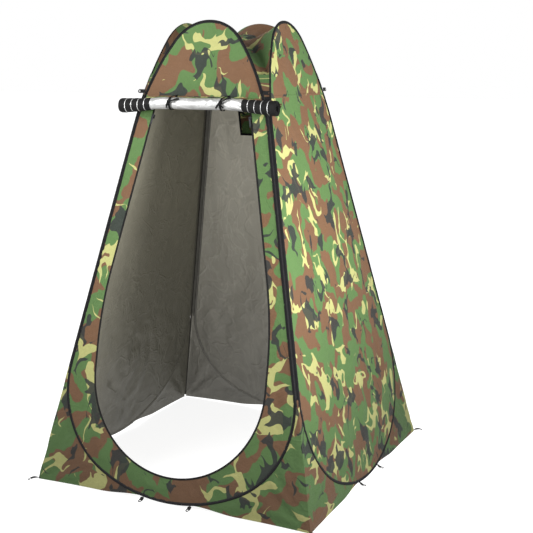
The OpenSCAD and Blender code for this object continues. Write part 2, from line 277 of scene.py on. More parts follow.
def rectangle(u0, u1, v0, v1, step):
    """A rectangle's outline, anticlockwise from its lower left corner."""
    us = np.linspace(u0, u1, int((u1 - u0) / step) + 1)
    vs = np.linspace(v0, v1, int((v1 - v0) / step) + 1)
    foot, right = [(u, v0) for u in us[:-1]], [(u1, v) for v in vs[:-1]]
    top, left = [(u, v1) for u in us[:0:-1]], [(u0, v) for v in vs[:0:-1]]
    return np.array(foot + right + top + left)


def inside(points, polygon):
    x, y = points[:, 0][:, None], points[:, 1][:, None]
    a, b = polygon, np.roll(polygon, -1, axis=0)
    crosses = (a[:, 1] > y) != (b[:, 1] > y)
    with np.errstate(divide="ignore", invalid="ignore"):
        at = a[:, 0] + (y - a[:, 1]) * (b[:, 0] - a[:, 0]) / (b[:, 1] - a[:, 1])
    return (crosses & (x < at)).sum(1) % 2 == 1


def distance_to(points, chain, closed=True):
    """Distance from each point to a chain of segments."""
    a = chain if closed else chain[:-1]
    b = np.roll(chain, -1, axis=0) if closed else chain[1:]
    d = b - a
    out = np.full(len(points), 1e9)
    for i in range(0, len(points), 4000):
        p = points[i : i + 4000, None, :] - a
        t = np.clip((p * d).sum(-1) / np.maximum((d * d).sum(-1), 1e-12), 0, 1)
        out[i : i + 4000] = np.sqrt(((p - t[..., None] * d) ** 2).sum(-1)).min(1)
    return out


# ---------------- meshes
CLOTH_CREASE, TAPE_CREASE = 50, 60  # degrees from which an edge is drawn sharp


def doubled_areas(points, faces):
    """Twice the signed area of each flat triangle."""
    a, b, c = (points[faces[:, i]] for i in range(3))
    return (b[:, 0] - a[:, 0]) * (c[:, 1] - a[:, 1]) - (b[:, 1] - a[:, 1]) * (c[:, 0] - a[:, 0])


def region(outer, holes, h):
    """Even triangles filling a flat outline with holes: points and faces."""

    def filled(points):
        keep = inside(points, outer)
        for hole in holes:
            keep &= ~inside(points, hole)
        return keep

    low, high = outer.min(0), outer.max(0)
    rows = np.arange(low[1], high[1], h * 0.866)
    columns = np.arange(low[0], high[0] + h, h)
    grid = np.array([(x + (j % 2) * h / 2, y) for j, y in enumerate(rows) for x in columns])
    grid = grid[filled(grid)]
    points, edges = [], []
    for loop in (outer, *holes):
        grid = grid[distance_to(grid, loop) > 0.55 * h]
        start, count = len(points), len(loop)
        edges += [(start + j, start + (j + 1) % count) for j in range(count)]
        points += list(loop)
    made = delaunay_2d_cdt([Vector(p) for p in [*points, *grid]], edges, [], 0, 1e-7)
    verts = np.array([tuple(p) for p in made[0]])
    faces = np.array([tuple(f) for f in made[2]])
    faces = faces[filled(verts[faces].mean(1))]
    area = doubled_areas(verts, faces)
    faces[area < 0] = faces[area < 0][:, ::-1]
    return verts, faces[np.abs(area) > 1e-12]


def rim_edges(faces):
    """Edges with a face on one side only, in the direction of that face."""
    corners = faces.shape[1]
    e = np.concatenate([faces[:, [i, (i + 1) % corners]] for i in range(corners)])
    _, where, count = np.unique(np.sort(e, axis=1), axis=0, return_index=True, return_counts=True)
    return e[where[count == 1]]


def flip_if_inside_out(piece):
    """Turn a closed mesh's faces outward if its volume comes out negative."""
    bm = bmesh.new()
    bm.from_mesh(piece.data)
    if bm.calc_volume(signed=True) < 0:
        bmesh.ops.reverse_faces(bm, faces=bm.faces[:])
        bm.to_mesh(piece.data)
    bm.free()
    return piece


def paint(piece, which):
    """Give each face the number of its material."""
    piece.data.polygons.foreach_set("material_index", np.asarray(which, np.int32))


def make_object(name, verts, faces, materials, uv=None, sharp=None):
    mesh = bpy.data.meshes.new(name)
    mesh.from_pydata(np.asarray(verts, float).tolist(), [], [list(map(int, f)) for f in faces])
    for m in materials:
        mesh.materials.append(m)
    mesh.polygons.foreach_set("use_smooth", np.ones(len(mesh.polygons), bool))
    if uv is not None:
        layer = mesh.uv_layers.new(name="cloth")
        index = np.empty(len(mesh.loops), np.int32)
        mesh.loops.foreach_get("vertex_index", index)
        layer.data.foreach_set("uv", np.asarray(uv, np.float32)[index].ravel())
    mesh.update()
    if sharp:
        mesh.set_sharp_from_angle(angle=math.radians(sharp))
    made = bpy.data.objects.new(name, mesh)
    SCENE.collection.objects.link(made)
    return made


def two_layers(name, outer, inner, faces, materials, uv):
    """A thin closed cloth: its outer face, its inner face and the rim between them."""
    count = len(outer)
    rim = rim_edges(faces)
    sides = np.stack([rim[:, 1], rim[:, 0], rim[:, 0] + count, rim[:, 1] + count], -1)
    every = [*faces.tolist(), *(faces[:, ::-1] + count).tolist(), *sides.tolist()]
    verts, uv = np.concatenate([outer, inner]), np.concatenate([uv, uv])
    piece = make_object(name, verts, every, materials, uv, CLOTH_CREASE)
    paint(piece, [0] * len(faces) + [1] * len(faces) + [0] * len(sides))
    return flip_if_inside_out(piece)


def grid_faces(rows, columns, wrap_columns=False, wrap_rows=False):
    out = []
    for i in range(rows if wrap_rows else rows - 1):
        for j in range(columns if wrap_columns else columns - 1):
            a, b = i * columns, (i + 1) % rows * columns
            out.append((a + j, a + (j + 1) % columns, b + (j + 1) % columns, b + j))
    return np.array(out)


def grid_cloth(name, points, lift, materials, uv):
    """A thin closed cloth from a grid of points on its middle surface, with its faces lift away."""
    outer, inner = (points + lift).reshape(-1, 3), (points - lift).reshape(-1, 3)
    return two_layers(name, outer, inner, grid_faces(*points.shape[:2]), materials, uv.reshape(-1, 2))


def paint_grid(piece, outer, inner, rim):
    """Choose a grid cloth's materials: a number for each outer and inner face, and one for its rim."""
    rest = len(piece.data.polygons) - len(outer) - len(inner)
    paint(piece, np.concatenate([outer, inner, np.full(rest, rim)]))


def sweep(name, rings, materials, uv, closed=True):
    """A surface through rings of points (path by profile), with its ends filled if it is open."""
    rows, columns = rings.shape[:2]
    faces = grid_faces(rows, columns, wrap_columns=True, wrap_rows=closed)[:, ::-1].tolist()
    if not closed:
        faces.append(list(range(columns)))
        faces.append(list(range((rows - 1) * columns, rows * columns))[::-1])
    piece = make_object(name, rings.reshape(-1, 3), faces, materials, uv.reshape(-1, 2), TAPE_CREASE)
    return flip_if_inside_out(piece)


def join(name, pieces):
    """One object from several, with their materials kept."""
    target = pieces[0]
    chosen = {"active_object": target, "selected_editable_objects": pieces, "selected_objects": pieces}
    with bpy.context.temp_override(**chosen):
        bpy.ops.object.join()
    target.name = name
    target.data.name = name
    return target


def finish(piece, body, slot, *nodes, squash=None):
    """Put a finished piece on its body and hide the CAD nodes that it stands for; the slot is not used."""
    if nodes:
        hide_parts(*nodes)
    if body:
        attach(piece, body)
    if squash:
        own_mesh(piece)


# ---------------- materials
class Nodes:
    """A short way of wiring a new material."""

    def __init__(self, name):
        self.material = bpy.data.materials.new(name)
        self.material.use_nodes = True
        self.tree = self.material.node_tree
        self.tree.nodes.clear()

    def give(self, socket, value):
        """Link an output to a socket, or set the socket to a value."""
        if isinstance(value, bpy.types.NodeSocket):
            self.tree.links.new(value, socket)
        else:
            socket.default_value = (*value, 1) if socket.type == "RGBA" else value

    def __call__(self, kind, *inputs, out=0, **given):
        """An output of a new node. Inputs come by place or by name, and settings in lower case."""
        node = self.tree.nodes.new("ShaderNode" + kind)
        settings = {key: value for key, value in given.items() if key[0].islower()}
        for key, value in settings.items():
            setattr(node, key, value)
        for place, value in enumerate(inputs):
            self.give(node.inputs[place], value)
        for key, value in given.items():
            if key not in settings:
                self.give(node.inputs[key.replace("_", " ")], value)
        return node.outputs[out]

    def math(self, operation, a, b=0.0, c=0.0):
        return self("Math", a, b, c, operation=operation)

    def add(self, a, b):
        return self.math("ADD", a, b)

    def times(self, a, b):
        return self.math("MULTIPLY", a, b)

    def scaled(self, value, by, base):
        return self.math("MULTIPLY_ADD", value, by, base)

    def off(self, value, middle=0.5):
        """How far a value is from a middle one."""
        return self.math("ABSOLUTE", self.math("SUBTRACT", value, middle))

    def step(self, value, low, high):
        """0 below low and 1 above high, smooth between."""
        return self("MapRange", interpolation_type="SMOOTHSTEP", Value=value, From_Min=low, From_Max=high)

    def near_zero(self, value, high):
        """1 at 0, and 0 above high."""
        return self.math("SUBTRACT", 1.0, self.step(value, 0.0, high))

    def noise(self, place, scale, detail=2.0, rough=0.5, distortion=0.0, out=0):
        given = {"Scale": scale, "Detail": detail, "Roughness": rough, "Distortion": distortion}
        return self("TexNoise", out=out, Vector=place, **given)

    def wave(self, place, scale, direction, **given):
        return self("TexWave", out=1, Vector=place, Scale=scale, bands_direction=direction, **given)

    def moved(self, place, by, operation="ADD"):
        return self("VectorMath", place, by, operation=operation)

    def cloth(self, scale=(1, 1), offset=(0, 0)):
        """Place on the flat cloth in metres, scaled and moved."""
        uv = self("UVMap", uv_map="cloth")
        return self("Mapping", Vector=uv, Location=(*offset, 0), Scale=(*scale, 1))

    def mix(self, factor, a, b, blend="MIX"):
        node = self.tree.nodes.new("ShaderNodeMix")
        node.data_type, node.blend_type = "RGBA", blend
        for place, value in ((0, factor), (6, a), (7, b)):
            self.give(node.inputs[place], value)
        return node.outputs[2]

    def toned(self, colour, tone):
        """A colour made lighter or darker by a grey tone."""
        return self.mix(1.0, colour, self("CombineColor", Red=tone, Green=tone, Blue=tone), "MULTIPLY")

    def by_height(self, place, low, high, foot):
        """From foot at the low height up to 1 at the high one."""
        height = self("SeparateXYZ", out=1, Vector=place)
        return self("MapRange", Value=height, From_Min=low, From_Max=high, To_Min=foot, To_Max=1.0)

    def finished(self, **given):
        """The material, with a principled shader that has these inputs."""
        output = self.tree.nodes.new("ShaderNodeOutputMaterial")
        self.tree.links.new(self("BsdfPrincipled", **given), output.inputs[0])
        return self.material


def creased(t, place, fine, coarse, strength):
    """Bump of woven, creased polyester: weave, small puckers and longer folds."""
    folds = t.noise(place, 7, 3, 0.55, 0.6)
    crease = t.near_zero(t.off(folds), 0.05)
    puckers = t.noise(place, 60, 3, 0.6)
    weave = t.add(t.wave(place, 420, "X"), t.wave(place, 420, "Y"))
    height = t.add(t.times(crease, 0.35 * coarse), t.times(puckers, 0.6 * fine))
    height = t.add(height, t.times(folds, coarse))
    height = t.add(height, t.times(weave, 0.02))
    return t("Bump", Height=height, Strength=strength, Distance=0.007)


GREEN = (0.046, 0.090, 0.027)
BROWN = (0.084, 0.043, 0.021)
TAN = (0.228, 0.228, 0.086)
DARK = (0.013, 0.015, 0.014)
BLACK_TAPE = (0.005, 0.005, 0.005)
THREAD = (0.03, 0.03, 0.028)


def camouflage(name, scale, offset, painted_light_level=1.0):
    """Woodland camouflage printed on polyester: rounded brown, forked tan, broken dark on green."""
    t = Nodes(name)
    p = t.cloth(scale, offset)
    for size, reach in ((5.0, 0.10), (17.0, 0.030)):
        wander = t.moved(t.noise(p, size, 1, 0.5, out=1), (0.5, 0.5, 0.5), "SUBTRACT")
        p = t.moved(p, t("VectorMath", wander, operation="SCALE", Scale=reach))

    def forked(place, size, width, low):
        """Branches along the middle line of one noise, as wide as a second noise allows."""
        middle = t.off(t.noise(place, size, 1.0, 0.5, 0.5))
        room = t.math("SUBTRACT", t.noise(place, size * 0.75, 1.5, 0.5, 0.3), low)
        return t.step(t.math("SUBTRACT", t.times(room, width), middle), -0.003, 0.003)

    brown = t.step(t.noise(t.moved(p, (3.1, 1.7, 0)), 6.5, 1.5, 0.45, 0.5), 0.503, 0.508)
    tan = forked(t.moved(p, (7.3, 4.9, 0)), 6.5, 0.50, 0.500)
    dark = forked(t.moved(p, (1.9, 8.3, 0)), 8.0, 0.70, 0.522)
    place = t.cloth()
    # Random tone, times painted shade that darkens the print towards the cloth's foot.
    shade = t.times(t.scaled(t.noise(p, 40, 3, 0.6), 0.14, 0.93), t.by_height(place, 0.1, 0.9, 0.57))
    colour = t.mix(tan, t.mix(brown, GREEN, BROWN), TAN)
    colour = t.toned(t.mix(t.times(dark, 0.94), colour, DARK), shade)
    return t.finished(
        # Painted light: the whole print is lightened or darkened by the cloth's painted light level.
        Base_Color=t.mix(1.0, colour, (painted_light_level, painted_light_level, painted_light_level), "MULTIPLY"),
        Roughness=t.scaled(t.noise(place, 25, 2), 0.2, 0.62),
        Specular_IOR_Level=0.16,
        Normal=creased(t, place, 0.8, 0.55, 0.55),
    )


def silver(name, colour, rough=0.46, metal=0.2, strength=1.0, painted_fold_light=0.16, patch=(9.0, 3.5), foot=1.0):
    """Silver coating on the back of the cloth, creased, with painted shade and painted highlights along its
    folds, and painted shade that darkens it towards its foot.
    """
    t = Nodes(name)
    place, stretched = t.cloth(), t.cloth(patch)
    # Painted shade of the folds and painted highlights along thin crease lines, laid into the colour.
    painted_fold_shading = t.noise(stretched, 1.0, 3, 0.55, 0.8)
    painted_crease_highlights = t.near_zero(t.off(t.noise(stretched, 0.8, 3, 0.6, 1.6)), 0.03)
    tone = t.scaled(painted_crease_highlights, 0.8 * painted_fold_light, t.scaled(painted_fold_shading, 2 * painted_fold_light, 1.0 - painted_fold_light))
    return t.finished(
        # Darker towards the foot: painted shade.
        Base_Color=t.toned(colour, t.times(tone, t.by_height(place, 0.05, 1.25, foot))),
        Metallic=metal,
        Roughness=t.scaled(t.noise(place, 30, 2), 0.18, rough - 0.08),
        Normal=creased(t, place, 0.25 * strength, 0.9 * strength, 0.5),
    )


def tape(name, colour, ribs, stitch=None, rough=0.6):
    """Woven tape: ribs across its length, paler where the ribs and random patches stand high, with a line of
    stitches.
    """
    t = Nodes(name)
    place = t.cloth()
    rib = t.wave(place, ribs / TURN, "X", Distortion=1.0)
    raised_patches = t.noise(place, 35, 3, 0.6)
    # Paler where the ribs and patches stand high.
    colour = t.toned(colour, t.scaled(rib, 0.25, t.scaled(raised_patches, 0.8, 0.6)))
    height = t.scaled(raised_patches, 0.5, t.times(rib, 0.25))
    if stitch is not None:
        along, across = (t("SeparateXYZ", out=i, Vector=place) for i in (0, 1))
        on_line = t.math("LESS_THAN", t.off(across, stitch), 0.0005)
        dash = t.math("LESS_THAN", t.math("FRACT", t.times(along, 220.0)), 0.65)
        sewn = t.times(on_line, dash)
        colour = t.mix(sewn, colour, THREAD)
        height = t.add(height, sewn)
    return t.finished(
        Base_Color=colour,
        Roughness=rough,
        Specular_IOR_Level=0.06,
        Normal=t("Bump", Height=height, Strength=0.6, Distance=0.0008),
    )


def metal(name, colour, rough):
    """Drawn metal with fine marks and darker spots."""
    t = Nodes(name)
    place = t("TexCoord", out=3)
    marks = t.noise(place, 90, 4, 0.65)
    return t.finished(
        Base_Color=t.toned(colour, t.scaled(t.noise(place, 18, 3, 0.6), 0.5, 0.75)),
        Metallic=1.0,
        Roughness=t.scaled(marks, 0.25, rough - 0.1),
        Normal=t("Bump", Height=marks, Strength=0.3, Distance=0.0004),
    )


# Where a third number is given, it is a painted light level that lightens or darkens that whole cloth.
PRINTS = {  # each cloth's own stretch and place on the print, and how light it is
    "front": ((1.5, 1.25), (0.37, 0.21)),
    "front_top": ((1.55, 1.15), (5.13, 2.64)),
    "right": ((1.7, 1.3), (2.41, 4.38)),
    "right_top": ((1.7, 1.3), (8.77, 1.15)),
    "back": ((1.6, 1.3), (11.3, 6.4)),
    "back_top": ((1.5, 1.2), (3.7, 9.2)),
    "left": ((1.6, 1.3), (6.2, 7.9)),
    "left_top": ((1.5, 1.2), (9.4, 3.3)),
    "corner": ((1.35, 1.35), (4.6, 5.5), 0.9),
    "roof": ((1.35, 1.35), (7.1, 0.9)),
    "flap": ((1.5, 1.5), (1.2, 3.6), 1.5),
}
CAMO = {name: camouflage("camo_" + name, *given) for name, given in PRINTS.items()}
# The foot numbers set painted shade that darkens the inside towards the floor.
COATING = silver("coating", (0.45, 0.43, 0.365), foot=0.25)
# The left side's darker copy of the coating: painted shade.
SHADED_COATING = silver("shaded_coating", (0.195, 0.185, 0.142), foot=0.45)
# The roll's silver: its strong crinkle tone is painted shade and painted highlights of the crinkles.
BRIGHT_COATING = silver("bright_coating", (0.30, 0.30, 0.295), 0.34, 0.55, 2.2, 0.45, (30, 45))
BINDING = tape("binding", (0.0045, 0.0045, 0.0050), 520, stitch=0.0095, rough=0.75)
WEBBING = tape("webbing", (0.006, 0.006, 0.006), 900, rough=0.7)
RIBBON = tape("ribbon", BLACK_TAPE, 1500, rough=0.45)
ZIP_TAPE = tape("zip_tape", BLACK_TAPE, 1600)
MESH_THREAD = tape("mesh_thread", (0.006, 0.006, 0.006), 2000)
STEEL = metal("spring_steel", (0.55, 0.56, 0.58), 0.3)
CRIMP = metal("crimp_tube", (0.62, 0.60, 0.55), 0.4)
ZIP_METAL = metal("zip_metal", (0.022, 0.022, 0.024), 0.6)


def coating(k):
    """The inside of side k: the left one is in shade in the photo."""
    return SHADED_COATING if k == LEFT else COATING


# ---------------- side cloths
def crease_field(k, u, v):
    """Height of the cloth's folds off the side's plane, before it is held down at its edges."""
    seed = 20 * k + 3
    out = 0.0030 * noise(u * 7, v * 2.2, seed) + 0.0022 * noise(u * 15 + v * 3, v * 4, seed + 1)
    out += 0.0026 * ridges(u * 5 + v, v * 1.6, seed + 2)
    out += 0.0016 * ridges(u * 9 - v * 6, v * 7 + u * 2, seed + 6)
    angle = np.arctan2(v - DOOR_FOOT_V, np.abs(u))
    away = np.hypot(u, v - DOOR_FOOT_V)
    low = smooth(-v, -0.75, -0.35)
    out += low * 0.0034 * noise(away * 26 + angle * 2.0, angle * 2.2 + np.sign(u) * 5, seed + 4)
    out += low * 0.0036 * ridges(away * 15 + angle * 3.5, angle * 1.8 + np.sign(u) * 7, seed + 5)
    return out


def side_cloth(k, part, polygon, holes, print_name, billow):
    """The lower or upper cloth of side k, held down at its edges and billowing between them."""
    verts, faces = region(polygon, holes, 0.014)
    u, v = verts.T
    edge = np.min([distance_to(verts, loop) for loop in (polygon, *holes)], axis=0)
    lift = MID_N + billow * smooth(edge, 0.0, 0.22) + smooth(edge, 0.0, 0.05) * crease_field(k, u, v)
    lift += 0.0008 * smooth(edge, 0.0, 0.015) * noise(u * 45, v * 45, k + 70)
    outer, inner = on_side(k, u, v, lift + CLOTH_HALF), on_side(k, u, v, lift - CLOTH_HALF)
    name = f"{SIDES[k]}_{part}"
    materials = [CAMO[print_name], coating(k)]
    piece = two_layers(name + "_cloth", outer, inner, faces, materials, pairs(u + 3.0 * k, v))
    finish(piece, BODIES[k], "camouflage_cloth", name + "_panel")


def part_of_loop(loop, above):
    """The part of a closed outline over or under the seam, closed straight across at the seam."""
    keep = loop[:, 1] > SEAM_V + 0.0005 if above else loop[:, 1] < SEAM_V - 0.0005
    cuts = []
    for a, b in zip(loop, np.roll(loop, -1, axis=0)):
        if (a[1] - SEAM_V) * (b[1] - SEAM_V) < 0:
            cuts.append((a + (SEAM_V - a[1]) / (b[1] - a[1]) * (b - a))[0])
    left, right = sorted(cuts)
    count = int((right - left) / 0.012)
    across = pairs(np.linspace(left, right, count), SEAM_V)
    start = int(np.argmax(keep & ~np.roll(keep, 1)))
    run = np.roll(loop, -start, axis=0)[: int(keep.sum())]
    return np.concatenate([run, across if above else across[::-1]]), right


def cut_doorway(below, seam_half, opening):
    """The front's lower outline with the doorway cut out of its top edge."""
    run = below[below[:, 1] < SEAM_V - 1e-6]
    top = [(u, SEAM_V) for u in np.linspace(seam_half, opening[0][0], 5)[:-1]]
    return np.concatenate([run, top, opening, [(-u, v) for u, v in top[::-1]]])


def add_side_cloths():
    opening = round_the_foot(door_half(0.0085, 0.013))
    window = rectangle(-0.139, 0.139, WINDOW_V - 0.009, WINDOW_V + WINDOW_H + 0.009, 0.012)
    for k, side in enumerate(SIDES):
        loop = hoop(k, 0.0078, 0.013)
        above, _ = part_of_loop(loop, True)
        below, seam_half = part_of_loop(loop, False)
        billow, flat = 0.010, (1.14, 1.57)
        if k == FRONT:
            below, billow, flat = cut_doorway(below, seam_half, opening), 0.003, (0.095, 3.4)
        side_cloth(k, "lower", below, [window] if k == BACK else [], side, billow)
        side_cloth(k, "upper", above, [], side + "_top", 0.006)


add_side_cloths()


# ---------------- hoop bindings
PUCKER_PITCH = 0.037


def binding_profile():
    """The folded tape's outline, as points (inset, n): a bead over the wire, then a flat lip."""
    bead = [(0.0036 + 0.0034 * math.cos(a), 0.0031 * math.sin(a)) for a in np.radians(np.arange(60, 301, 24))]
    lip = [(0.0066, -0.0017), (0.0090, -0.0013), (0.0116, -0.0013), (0.0120, 0.0)]
    return np.array(bead + lip + [(d, -n) for d, n in lip[2::-1]])


def add_bindings():
    profile = binding_profile()
    lip = smooth(profile[:, 0], 0.005, 0.011)
    both_ends = profile + np.roll(profile, -1, axis=0)
    lined = (both_ends[:, 1] < -0.0010) & (both_ends[:, 0] > 0.0044)
    for k, side in enumerate(SIDES):
        loop = hoop(k, 0.0, 0.010)
        s = running_length(loop)
        puckers = 0.00045 * np.sin(s * TURN / PUCKER_PITCH + 2 * noise(s * 6, 0, k))
        puckers += 0.0006 * noise(s * 22, 1, k + 5)
        width = 1 + 0.05 * noise(s * 12, 2, k + 8)
        d = profile[:, 0] * np.where(profile[:, 0] > 0.007, width[:, None], 1)
        u, v = offset_path(loop, left_normals(loop), d)
        n = MID_N + profile[:, 1] + puckers[:, None] * lip
        piece = sweep(BINDINGS[k], on_side(k, u, v, n), [BINDING, coating(k)], pairs(s[:, None], d))
        paint(piece, np.tile(lined, len(loop)))
        finish(piece, BODIES[k], "hoop_binding", f"{side}_hoop_sleeve")


add_bindings()


# ---------------- corner cloths and corner tapes
GUSSET_ROWS, GUSSET_TOP_V = 34, 0.470
TAPE_FOOT_V, TAPE_LIFT = 0.445, 0.00045
OVER_BEAD = (  # a tape's lines over a hoop's bead: how far inside its outer edge, and n
    (0.0078, 0.0052),
    (0.0062, 0.0063),
    (0.0042, 0.0068),
    (0.0018, 0.0064),
    (0.0003, 0.0046),
    (-0.0004, 0.0024),
)


def next_side(k):
    return (k + 1) % 4


def corner_out(k):
    """Unit vector out of the corner between side k and the next one."""
    out = side_vector(k, 0, 0, 1) + side_vector(next_side(k), 0, 0, 1)
    out[2] = 0
    return unit(out)


def corner_edge_u(v, n):
    """Where side k's plane, n out, meets its neighbour's, as u at height v."""
    return HALF - v * TILT + n * RISE


def blend_at_corner(piece, k, reach):
    """Bake a piece's transform into its mesh; the points reach to either side of the corner after side k are
    worked out but not used.
    """
    after = next_side(k)
    foot = on_side(k, HALF, 0, 0)
    start, end = foot + side_vector(k, -reach, 0, 0), foot + side_vector(after, reach, 0, 0)
    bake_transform(piece)


def gusset_half(k, hand):
    """One side's part of a corner cloth, as if on its right hand: points, faces, distance to its seam.

    The first GUSSET_ROWS points go up the corner.
    """
    rows = np.linspace(0.0, GUSSET_TOP_V, GUSSET_ROWS)
    edge = pairs(corner_edge_u(rows, MID_N), rows)
    loop = hoop(k, 0.0012, 0.012)
    if hand < 0:
        loop = mirrored(loop)
    seam = loop[(loop[:, 0] > 0.112) & (loop[:, 1] < GUSSET_TOP_V)]
    seam = seam[np.argsort(-seam[:, 1])]
    seam = seam[corner_edge_u(seam[:, 1], MID_N) - seam[:, 0] > 0.004]
    tip_u, tip_v = seam[-1]
    us = np.linspace(tip_u, edge[0, 0], 42)[:-1]
    lift = (tip_v - 0.001) * (1 - smooth(us, tip_u, 0.30))
    lift += 0.004 * np.sin(math.pi * (us - tip_u) / (edge[0, 0] - tip_u))
    polygon = np.concatenate([edge, seam, pairs(us, lift)])
    verts, faces = region(polygon, (), 0.012)
    return verts, faces, distance_to(verts, polygon[GUSSET_ROWS - 1 :], closed=False)


def gusset_points(k, hand, out, verts, hoop_edge, seed):
    """A half's middle surface in the frame, rounded at the corner and creased towards the foot."""
    u, v = verts.T
    s = np.clip(corner_edge_u(v, MID_N) - u, 0, None)
    away = np.hypot(HALF - u, v)
    angle = np.arctan2(v, HALF - u + 0.01)
    hold = smooth(hoop_edge, 0.0, 0.03) * smooth(s, 0.0, 0.05)
    near = np.exp(-away / 0.22)
    folds = 0.0035 * noise(angle * 7, away * 3, seed) + 0.003 * ridges(angle * 5, away * 2.5, seed + 1)
    folds += near * 0.004 * noise(angle * 16, away * 5, seed + 2) + 0.004 * smooth(s, 0.0, 0.2)
    folds -= 0.006 * smooth(v, 0.10, 0.40)
    rounded = -0.0016 * np.clip(1 - s / 0.010, 0, 1) ** 2
    gather = 0.0030 * noise(v * 38, 0.5, seed + 30) * (1 - smooth(v, 0.02, 0.30))
    gather += 0.0015 * noise(v * 16, 0.5, seed + 31)
    gather *= smooth(v, 0.0, 0.03) * np.clip(1 - s / 0.05, 0, 1) ** 2
    return on_side(k, hand * u, v, MID_N + hold * folds) + (rounded + gather)[:, None] * out


def gusset(corner, k, hand):
    """Side k's half of a corner cloth: middle points, faces, map, normals, distance in and area."""
    out = corner_out(corner)
    verts, faces, hoop_edge = gusset_half(k, hand)
    points = gusset_points(k, hand, out, verts, hoop_edge, 200 + 10 * corner)
    s = corner_edge_u(verts[:, 1], MID_N) - verts[:, 0]
    turned = np.clip(s / 0.012, 0, 1)[:, None]
    normal = unit(side_vector(k, 0, 0, 1) * (0.5 + 0.5 * turned) + out * (0.5 - 0.5 * turned))
    area = float(np.abs(doubled_areas(verts, faces)).sum() / 2)
    return points, faces[:, ::hand], pairs(1.3 * corner - hand * s, verts[:, 1]), normal, s, area


def add_joined_corner_cloth(k, nodes):
    """One cloth round a corner, from its two halves with their shared edge made one."""
    halves = gusset(k, k, 1), gusset(k, next_side(k), -1)
    points, uv, normal = (np.concatenate([half[i] for half in halves]) for i in (0, 2, 3))
    start = len(halves[0][0])
    index = np.arange(len(points))
    index[start : start + GUSSET_ROWS] = np.arange(GUSSET_ROWS)
    used, faces = np.unique([*halves[0][1], *index[halves[1][1] + start]], return_inverse=True)
    points, uv, lift = points[used], uv[used], CLOTH_HALF * normal[used]
    materials = [CAMO["corner"], COATING]
    name = f"{CORNERS[k]}_corner_cloth"
    piece = two_layers(name, points + lift, points - lift, faces.reshape(-1, 3), materials, uv)
    finish(piece, None, "camouflage_cloth", *nodes)
    blend_at_corner(piece, k, 0.045)


def add_open_corner_cloth(corner, k, hand, reach, node):
    """Side k's own cloth at the open corner, drawn back from it by reach."""
    points, faces, uv, normal, s, area = gusset(corner, k, hand)
    pull = reach * np.clip(1 - np.abs(s) / 0.06, 0, 1)[:, None]
    points, lift = points - pull * side_vector(k, hand, 0, 0), CLOTH_HALF * normal
    name = f"{CORNERS[corner]}_{SIDES[k]}_cloth"
    piece = two_layers(name, points + lift, points - lift, faces, [CAMO["corner"], coating(k)], uv)
    finish(piece, BODIES[k], "camouflage_cloth", node)


def add_corner_cloths():
    for k in range(4):
        nodes = f"{SIDES[k]}_right_gusset", f"{SIDES[next_side(k)]}_left_gusset"
        if k != OPEN_CORNER:
            add_joined_corner_cloth(k, nodes)
        else:
            add_open_corner_cloth(k, k, 1, 0.001, nodes[0])
            add_open_corner_cloth(k, next_side(k), -1, 0.0140, nodes[1])


def over_bead(k, hand, rows, wobble):
    """A tape's lines up a corner over hoop k's bead, or flat along the corner below the bead."""
    low_u, bead = corner_edge_u(rows, MID_N), smooth(rows, 0.43, 0.47)
    flat_n = MID_N + 0.0012
    lines = []
    for d, n in OVER_BEAD:
        low = hand * (low_u - CORNER_GAP - d)
        u = low * (1 - bead) + hoop_u(k, hand, d, np.maximum(rows, TAPE_FOOT_V)) * bead
        lines.append(on_side(k, u, rows, flat_n + (n - flat_n) * bead + wobble))
    return lines


def joined_tape_points(k, rows, wobble):
    """From one hoop over the joined corner to the next hoop, sagging into the valley between them."""
    near, far = over_bead(k, 1, rows, wobble), over_bead(next_side(k), -1, rows, wobble)[::-1]
    a, b = near[-1], far[0]
    sag = (0.0012 + 0.05 * np.linalg.norm(b - a, axis=1))[:, None] * corner_out(k)
    between = [a + (b - a) * w - sag * 4 * w * (1 - w) for w in (0.25, 0.5, 0.75)]
    return np.stack([*near, *between, *far], axis=1)


def open_tape_points(rows, wobble):
    """From the back hoop to the open corner, and a little way round it."""
    low_u, bead = corner_edge_u(rows, MID_N), smooth(rows, 0.43, 0.47)
    near = over_bead(BACK, 1, rows, wobble)
    tip = on_side(BACK, low_u + 0.0008, rows, 0.0022)
    reach = 0.0085 + 0.0040 * (1 - bead)
    lap = ((0.25, 0.0020), (0.6, 0.0026), (1.0, 0.0030))
    far = [on_side(LEFT, reach * part - low_u, rows, n) for part, n in lap]
    return np.stack([*near, near[-1] + (tip - near[-1]) * 0.5, tip, *far], axis=1)


def make_tape(name, rows, points, measured_row, materials):
    """A tape that runs up a corner, with its width on the map taken from one row."""
    uv = pairs(rows[:, None], running_length(points[measured_row]))
    return grid_cloth(name, points, grid_normals(points) * TAPE_LIFT, materials, uv)


def grid_normals(points):
    """Unit normals of a grid of points, rows by columns."""
    return unit(np.cross(np.gradient(points, axis=1), np.gradient(points, axis=0)))


